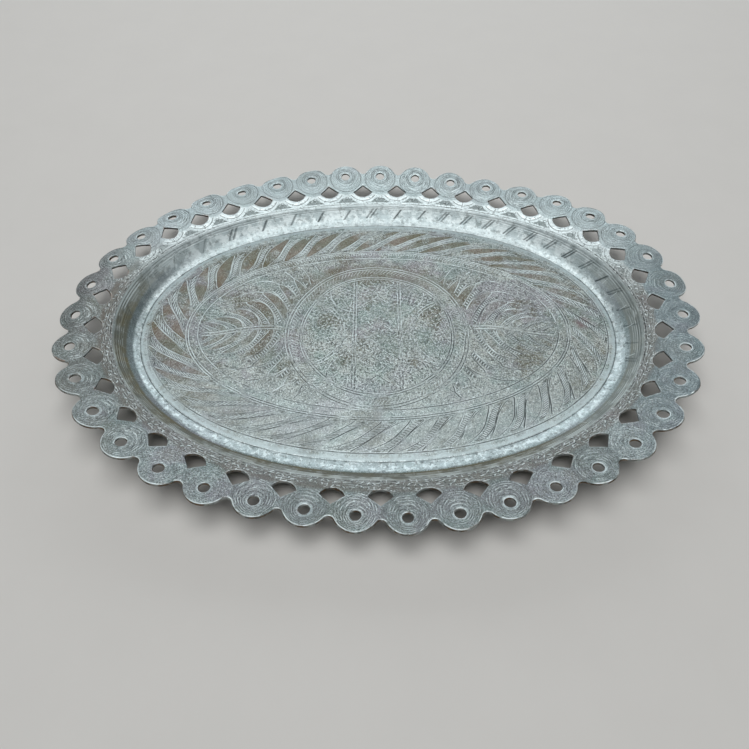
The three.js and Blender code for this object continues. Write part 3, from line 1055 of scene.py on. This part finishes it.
def wall_finish():
    # The wall's tin with painted light: its pale far side and bright cove are painted highlights, its
    # darker bands painted shade
    paint = Paint("tin_wall_with_painted_light")
    lay, engrave, patches = paint.lay, paint.engrave, paint.patches
    place, inset = paint.attribute("course")[:2]
    marks, rails, foot = wall_lines(place, inset)
    tarnish = Tarnish(paint, DULL_TIN, PALE_TIN, 0.15, 1)
    wander = paint.wander(5, 26, 2.7)
    wide_wander = paint.wander(40, 60, 1.1, 2, 0.5)
    # far, near, left and right place the wall's painted light and painted shade
    far = ramp(0, 80, paint.y + wide_wander)
    near = 1 - far
    unleft = ramp(-150, -80, paint.x + wide_wander * 0.5)
    left = 1 - unleft
    right = ramp(60, 150, paint.x + wide_wander)
    olive = between(22.3, 28.2, inset + wander * 0.25 + unleft * 0.3, 0.6) * (1 - far * 0.85)
    # Painted shade: a darker band across the middle of the wall, on the near left
    dark = between(27.8, 31.4, inset + wander * 0.2, 0.8) * near * left
    # The cove at the wall's foot carries a band of painted highlight, widened away from the left end and
    # softened at the foot
    widened = unleft * 1.4 + near * unleft * (1 - right * 0.7) * 1.1
    foot_fade = 1 - ramp(35.2, 36.4, inset + wander * 0.15) * 0.5
    cove = ramp(30.9, 32.3, inset + wander * 0.2 + widened) * foot_fade
    lay((0.125, 0.155, 0.165), dark * 0.6)
    tint = paint.mix(OLIVE, (0.11, 0.115, 0.085), patches(0.4, 0.6, 11, 8.3))
    lay(tint, olive * 0.92)
    # Painted shade: the olive band darker at the front, less so at the right and not at the left end
    lay((0.06, 0.056, 0.036), olive * unleft * (1 - right * 0.6) * 0.35)
    drawn_round = patches(0.46, 0.56, 9, 12.7)
    moulding = only(strokes(inset + wander * 0.05, 0.85), between(22.6, 27, inset))
    engrave(moulding, drawn_round, 0.45, near * (0.4 - left * 0.15))
    # Painted light: the far wall paler with mottled painted highlights, and the near wall a little paler
    # towards the right
    lay(PALE_TIN, far * 0.85 + right * near * 0.3)
    lay(CHALK_AND_HIGHLIGHT, far * patches(0.44, 0.58, 7, 22.1, 4, 0.7) * 0.9)
    lay(DULL_TIN, far * patches(0.53, 0.62, 4, 25.3, 4, 0.7) * 0.5)
    # Painted highlight along the cove, mottled light and dark
    lay(PALE_TIN, cove * 0.6)
    lay(CHALK_AND_HIGHLIGHT, cove * patches(0.49, 0.58, 3.6, 3.9, 4, 0.75) * (0.8 - far * 0.3))
    lay(DULL_TIN, cove * patches(0.53, 0.62, 2.6, 14.9, 4, 0.75) * (0.62 - far * 0.2))
    shade = patches(0.4, 0.6, 14, 5.1)
    strong = (ramp(-60, 10, paint.y) * 0.75 + 0.1) * (1 - left * 0.75)
    lay((0.05, 0.075, 0.08), (1 - ramp(0.2, 1.3, marks)) * strong * (shade * 0.4 + 0.6))
    engrave(rails, shade, 0.5, shade * 0.4 + 0.35)
    lay(SOOT, groove(foot, 0.6) * (shade * 0.4 + 0.3))
    lay(CHALK_AND_HIGHLIGHT, groove(size_of(inset - 22.5), 0.7) * (shade * 0.4 + 0.2))
    nick_turn = place * 1.7
    nick_pick = scatter(whole(nick_turn + 0.5), 8.7)
    nicked = ramp(0.6, 0.62, nick_pick) * between(28, 32, inset + nick_pick * 3)
    nicks = only(size_of(nearest(nick_turn)) * 12, nicked)
    lay(CHALK_AND_HIGHLIGHT, groove(nicks, 0.5) * near * (right * 0.6 + 0.1))
    cut = groove(closest(marks, rails, foot), 0.6)
    metal = 0.76 - olive * 0.55 - tarnish.pits * 0.3 - far * 0.35
    rough = 0.42 - cove * 0.08 + olive * 0.15 + tarnish.dullness(0.08, 0.4, 0.1)
    bump = 0.5 - cut * 0.5 - groove(moulding, 0.5) * 0.2 + tarnish.relief(0.1, 0.2, 0.06)
    return paint.finish(metal, rough, bump, 0.22)


def floor_finish():
    paint = Paint("engraved_tin_floor")
    lay, engrave, patches = paint.lay, paint.engrave, paint.patches
    place, out, stem = paint.attribute("leaf")
    inset = paint.attribute("zone")[0]
    lines = floor_lines(paint.x, paint.y, place, out, stem, inset)
    main, combs, light_chasing, dark_chasing, border, inside, strip = lines
    tarnish = Tarnish(paint, (0.105, 0.12, 0.108), (0.62, 0.68, 0.655), 0.6, 1.3)
    far = ramp(-60, 60, paint.y - paint.x * 0.35)
    leaf_wear = inside * patches(0.36, 0.54, 16, 6.1) * (far * 0.75 + 0.2)
    tint = paint.mix(OLIVE, BROWN, patches(0.44, 0.56, 18, 9.1, 2, 0.5))
    lay(tint, leaf_wear * 0.68)
    stained = reach_of(paint.x - 128, paint.y - 4) + paint.noise(5) * 6
    lay((0.22, 0.13, 0.15), (1 - ramp(4, 10, stained)) * 0.7)
    plain = 1 - ramp(39, 41.5, inset + paint.wander(3, 7, 6.6))
    lay(PALE_TIN, plain * patches(0.4, 0.54, 6, 2.9, 4, 0.7) * 0.6)
    # Painted light: the floor paler towards the near side
    lay(PALE_TIN, (1 - ramp(-75, -20, paint.y)) * 0.34)
    # Painted highlight: a pale band round the floor's edge, going on from the wall's cove
    lay(PALE_TIN, (1 - ramp(36.4, 38.4, inset + paint.wander(2, 9, 5.2))) * 0.75)
    round_middle = reach_of(paint.x - MEDALLION[0], (paint.y - MEDALLION[1]) * 1.1)
    round_middle = round_middle + paint.wander(24, 24, 7.7)
    lay((0.15, 0.125, 0.075), between(50, 66, round_middle, 5) * ramp(0, 50, paint.y) * 0.5)
    fading_strip = patches(0.4, 0.56, 11, 27.9)
    lay((0.085, 0.1, 0.095), strip * (fading_strip * 0.3 + 0.65 - far * 0.25))
    # The lines' tone changes at random, and is paler towards the far side as painted light
    pale = ramp(0.36, 0.58, paint.noise(14, 4.4) + (far - 0.5) * 0.28)
    fading = patches(0.36, 0.56, 8, 15.4)
    green = patches(0.47, 0.58, 17, 31.7) * (1 - ramp(40, 62, round_middle))
    lay((0.17, 0.28, 0.24), green * 0.2)
    engrave(main, pale, 0.62, fading * 0.3 + 0.7 - far * 0.15)
    engrave(border, pale * 0.3, 0.62, fading * 0.4 + 0.6)
    lay(SOOT, groove(dark_chasing, 0.4) * (fading * 0.35 + 0.45))
    lay(CHALK_AND_HIGHLIGHT, groove(light_chasing, 0.36) * (fading * 0.45 + 0.35))
    lay(CHALK_AND_HIGHLIGHT, groove(combs, 1.05) * (fading * 0.35 + 0.62))
    cut = closest(main, combs, light_chasing, dark_chasing, border)
    metal = 0.68 - tarnish.patches * 0.4 - leaf_wear * 0.3 - tarnish.pits * 0.3
    rough = 0.44 + leaf_wear * 0.1 + tarnish.dullness(0.1, 0.25, 0.1)
    bump = 0.5 - groove(cut, 0.6) * 0.5 + tarnish.relief(0.14, 0.25, 0.07)
    return paint.finish(metal, rough, bump, 0.22)


def edge_finish():
    paint = Paint("filed_edge")
    paint.colour = paint.mix(BROWN, PALE_TIN, paint.patches(0.4, 0.6, 6, 1.3) * 0.6)
    dirt = paint.patches(0.45, 0.65, 2.5, 4.1, 4, 0.65)
    paint.lay(SOOT, dirt * 0.55)
    file_marks = paint.noise(0.7, 0.3, 2, 0.5, (1, 1, 0.2))
    return paint.finish(0.75 - dirt * 0.3, 0.42 + dirt * 0.2, file_marks, 0.08)


def back_finish():
    """The plain hammered back: browner, with tin only in clouds, and the marks of the raising hammer."""
    paint = Paint("hammered_back")
    tarnish = Tarnish(paint, DULL_TIN, PALE_TIN, 0.75, 0.5)
    paint.lay(OLIVE, paint.noise(12, 2.6) * 0.8)
    paint.lay(BROWN, paint.patches(0.46, 0.62, 30, 5.9, 4) * 0.6)
    cells = paint.add("TexVoronoi", [("Scale", 1 / (9 * MM)), ("Vector", paint.place)])
    blows = Field(paint.tree, cells.outputs["Distance"])
    bump = blows * 0.5 + tarnish.relief(0.08, 0.15, 0.05)
    return paint.finish(0.7 - tarnish.patches * 0.3, 0.46 + tarnish.dullness(0.1, 0.15, 0), bump, 0.5)


# --------------------
# The tray

cut_edge, hammered_back = edge_finish(), back_finish()
for maker, finish, slot in (
    (make_floor, floor_finish, "engraved_floor"),
    # The wall's finish carries painted highlights and painted shade
    (make_wall, wall_finish, "burnished_wall"),
    (make_rim, rim_finish, "engraved_rim"),
):
    maker(finish(), cut_edge, hammered_back)


# --------------------
# Floor, light and camera

low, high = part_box("well_floor")
stand = low.z - 0.00005  # just under the tray, so that the two faces don't fight

bpy.ops.mesh.primitive_plane_add(size=8, location=(0, 0, stand))
ground = bpy.context.object
ground.name = "ground"
paint = Paint("pale_ground")
speck = paint.noise(40, 0.0, 4)
paint.colour = paint.mix((0.62, 0.61, 0.59), (0.66, 0.65, 0.63), speck)
ground.data.materials.append(paint.finish(speck * 0, speck * 0.1 + 0.7, speck, 0.05))

world = bpy.data.worlds.new("studio")
world.use_nodes = True
sky = world.node_tree.nodes["Background"].inputs
sky["Color"].default_value = (0.90, 0.95, 1.0, 1)
sky["Strength"].default_value = 0.065
bpy.context.scene.world = world


def hang(name, data, place, aim):
    """A lamp or camera at a place, turned to what it aims at."""
    holder = bpy.data.objects.new(name, data)
    bpy.context.scene.collection.objects.link(holder)
    holder.location = place
    holder.rotation_euler = (aim - place).to_track_quat("-Z", "Y").to_euler()
    return holder


def lamp(name, place, size, power, colour):
    light = bpy.data.lights.new(name, "AREA")
    light.shape, light.size, light.size_y = "RECTANGLE", *size
    light.energy, light.color = power, colour
    hang(name, light, Vector(place), Vector())


lamp("window", (0.1, 2.0, 0.80), (3.0, 0.6), 17, (0.94, 0.98, 1.0))
lamp("ceiling", (-0.08, 0.0, 1.8), (1.9, 1.7), 28.5, (1.0, 1.0, 0.99))
bpy.context.scene.view_settings.view_transform = "Standard"

LENS = 30.136
ELEVATION = math.radians(53.909)
DISTANCE = 348.1 * MM
AIM = Vector((-2.2, -48.65, 18.2)) * MM
back = Vector((0, -math.cos(ELEVATION), math.sin(ELEVATION)))
eye = bpy.data.cameras.new("camera")
eye.lens = LENS
eye.sensor_width = 36
eye.clip_start = 0.01
bpy.context.scene.camera = hang("camera", eye, AIM + back * DISTANCE, AIM)
